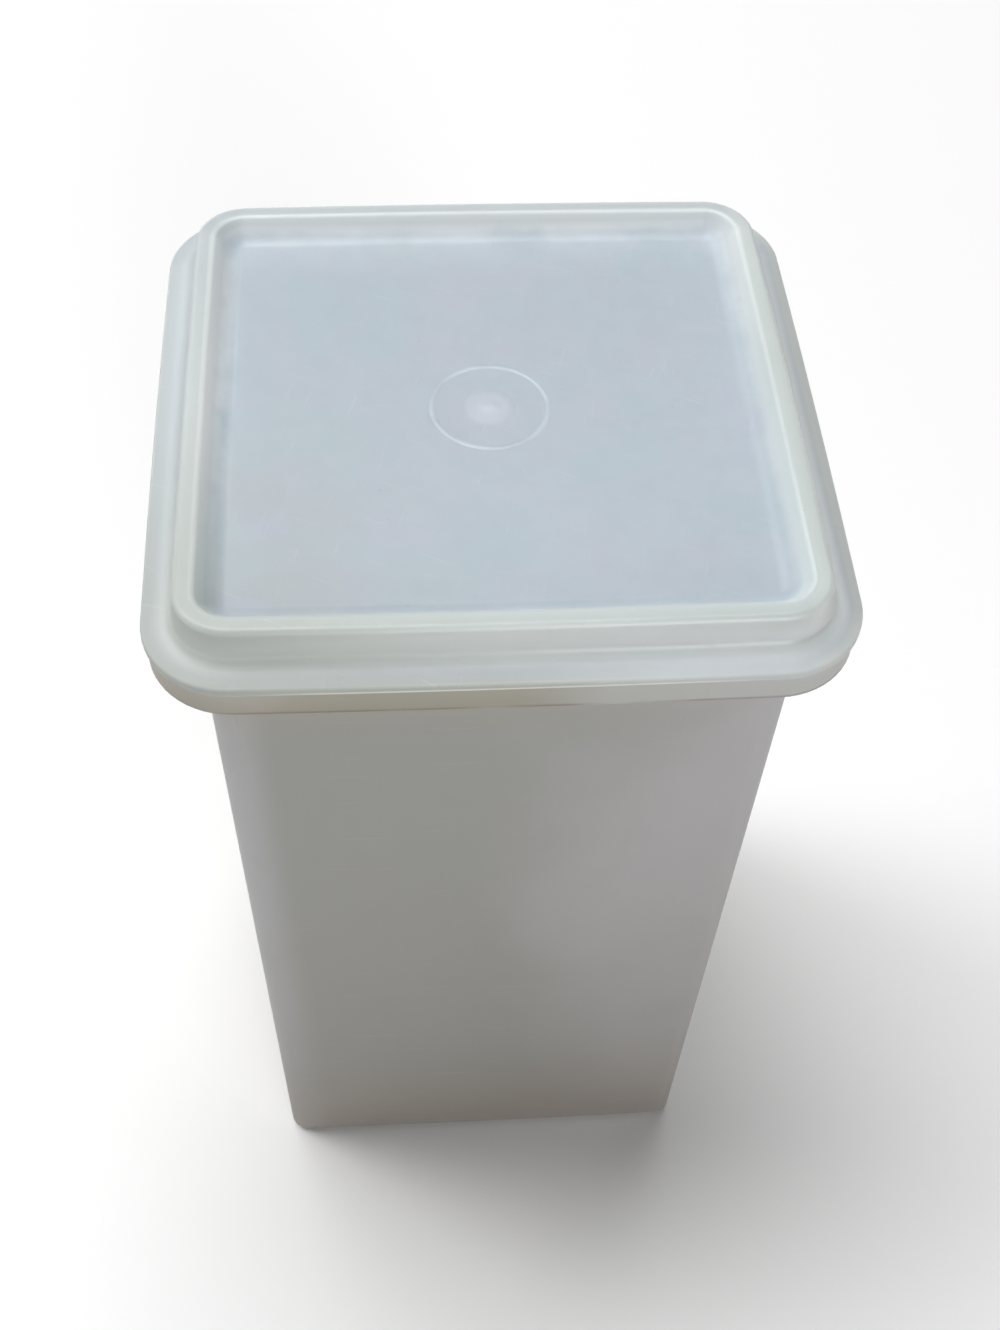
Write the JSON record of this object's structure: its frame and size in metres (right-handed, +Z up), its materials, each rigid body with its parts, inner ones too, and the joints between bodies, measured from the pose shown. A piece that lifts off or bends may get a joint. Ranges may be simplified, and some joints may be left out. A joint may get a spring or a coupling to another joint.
{
  "type": "cracker storage container",
  "caption": "Tall tapered square plastic canister with a turned-down collar round its mouth and a press-on translucent lid with a recessed panel and hollow ridge, for stacked crackers.",
  "frame": {"origin": "centre of the base, on the plane that the foot ring stands on", "axes": "+Z up along the canister's axis, +X and +Y square to two neighbouring walls; the picture looks along +Y from above"},
  "size_m": [0.142, 0.142, 0.2415],
  "materials": {
    "container_plastic": "satin off-white moulded polyethylene, slightly yellowed, with fine scuffs",
    "lid_plastic": "satin milky translucent polyethylene with a faint blue-green cast"
  },
  "bodies": {
    "container": {"container": "container_plastic"},
    "lid": {"lid": "lid_plastic"}
  },
  "joints": [
    {"name": "lid_lift", "type": "slide", "parent": "container", "child": "lid", "axis": [0, 0, 1], "range_m": [0, 0.25]}
  ]
}
